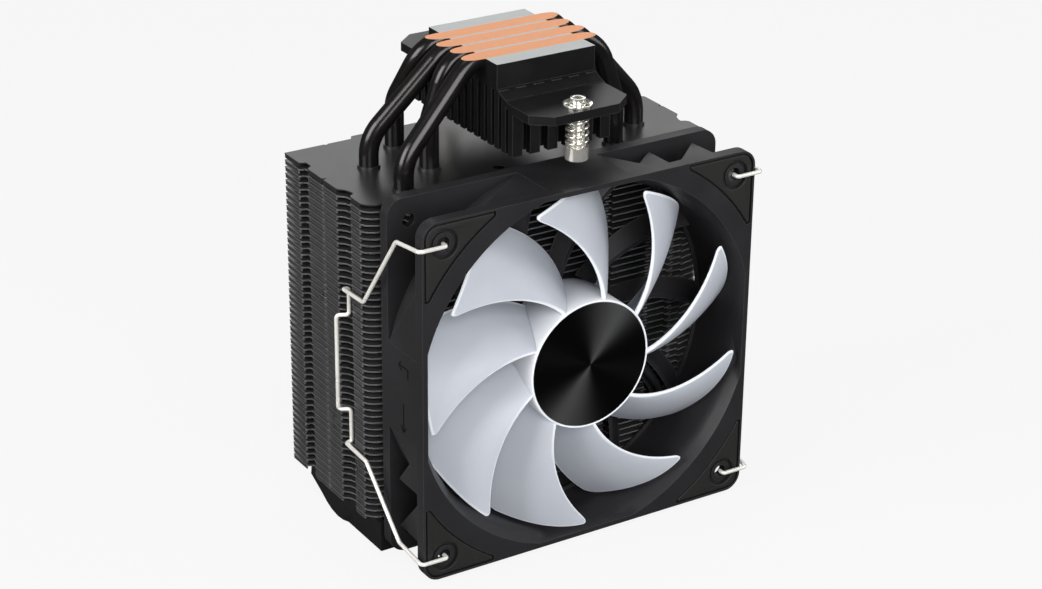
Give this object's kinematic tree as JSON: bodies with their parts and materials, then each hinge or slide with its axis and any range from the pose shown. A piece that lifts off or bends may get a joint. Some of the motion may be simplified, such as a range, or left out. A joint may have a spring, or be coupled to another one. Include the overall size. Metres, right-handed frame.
{
  "type": "cpu tower cooler",
  "caption": "Tower heat sink with bent heat pipes, a folded fin stack, an axial fan held by wire clips, and a direct-touch base with spring screws.",
  "frame": {"origin": "centre of the machined contact face on the base", "axes": "+Z is the contact face's outward normal, away from the fin stack; +Y runs from the fan's front face towards the rear of the tower; +X completes the set across the fan"},
  "size_m": [0.1318, 0.0937, 0.154],
  "materials": {
    "base_black": "black anodised, satin, with a milled bright contact face",
    "pipe_black_nickel": "black nickel plated copper, glossy, milled bare copper on the contact face",
    "fin_black": "dark grey anodised sheet, satin",
    "cap_black": "dark grey anodised, satin",
    "frame_plastic": "fine moulded texture, matt",
    "pad_rubber": "soft matt rubber",
    "blade_plastic": "pale translucent moulded plastic with bright edges",
    "hub_black": "black, spun brushed",
    "steel_dark": "drawn steel, zinc plated",
    "ferrite": "sintered ferrite, matt",
    "bearing_bronze": "sintered bronze",
    "copper_wire": "enamelled copper winding",
    "board_green": "circuit board with solder mask",
    "led_white": "clear lens",
    "cable_black": "cable jacket",
    "connector_black": "moulded housing",
    "nickel_wire": "nickel plated spring wire, polished",
    "nickel_screw": "nickel plated steel, polished"
  },
  "bodies": {
    "cooler": {"base_block": "base_black", "heat_pipe_1": "pipe_black_nickel", "heat_pipe_2": "pipe_black_nickel", "heat_pipe_3": "pipe_black_nickel", "heat_pipe_4": "pipe_black_nickel", "fin_top": "fin_black", "cooling_fins": "fin_black", "end_cap": "cap_black", "fan_frame": "frame_plastic", "corner_pads_front": "pad_rubber", "corner_pads_rear": "pad_rubber", "fan_cable": "cable_black", "fan_connector": "connector_black", "bearing_sleeve": "bearing_bronze", "stator_core": "steel_dark", "stator_coils": "copper_wire", "fan_circuit_board": "board_green", "fan_leds": "led_white", "spring_front": "nickel_wire", "spring_rear": "nickel_wire"},
    "rotor": {"impeller": "blade_plastic", "hub_disc": "hub_black", "rotor_yoke": "steel_dark", "rotor_magnet": "ferrite", "fan_shaft": "steel_dark", "shaft_ring": "steel_dark"},
    "clip_left": {"clip_left": "nickel_wire"},
    "clip_right": {"clip_right": "nickel_wire"},
    "retainer_front": {"e_clip_front": "nickel_screw"},
    "retainer_rear": {"e_clip_rear": "nickel_screw"},
    "nut_front": {"screw_front": "nickel_screw"},
    "nut_rear": {"screw_rear": "nickel_screw"}
  },
  "joints": [
    {"name": "fan_spin", "type": "hinge", "parent": "cooler", "child": "rotor", "pos_m": [0, -0.0364, -0.09284], "axis": [0, -1, 0], "continuous": true},
    {"name": "clip_left_swing", "type": "hinge", "parent": "cooler", "child": "clip_left", "pos_m": [-0.0525, -0.0497, -0.09284], "axis": [0, 0, 1], "range_deg": [0, 60]},
    {"name": "clip_right_swing", "type": "hinge", "parent": "cooler", "child": "clip_right", "pos_m": [0.0525, -0.0497, -0.09284], "axis": [0, 0, -1], "range_deg": [0, 60]},
    {"name": "front_screw_press", "type": "slide", "parent": "cooler", "child": "retainer_front", "axis": [0, 0, 1], "range_m": [0, 0.004], "stiffness_N_per_m": 3000, "springref_m": -0.001, "deforming": ["spring_front"]},
    {"name": "front_screw_turn", "type": "hinge", "parent": "retainer_front", "child": "nut_front", "pos_m": [0, -0.038, -0.01784], "axis": [0, 0, 1], "continuous": true},
    {"name": "rear_screw_press", "type": "slide", "parent": "cooler", "child": "retainer_rear", "axis": [0, 0, 1], "range_m": [0, 0.004], "stiffness_N_per_m": 3000, "springref_m": -0.001, "deforming": ["spring_rear"]},
    {"name": "rear_screw_turn", "type": "hinge", "parent": "retainer_rear", "child": "nut_rear", "pos_m": [0, 0.038, -0.01784], "axis": [0, 0, 1], "continuous": true}
  ]
}
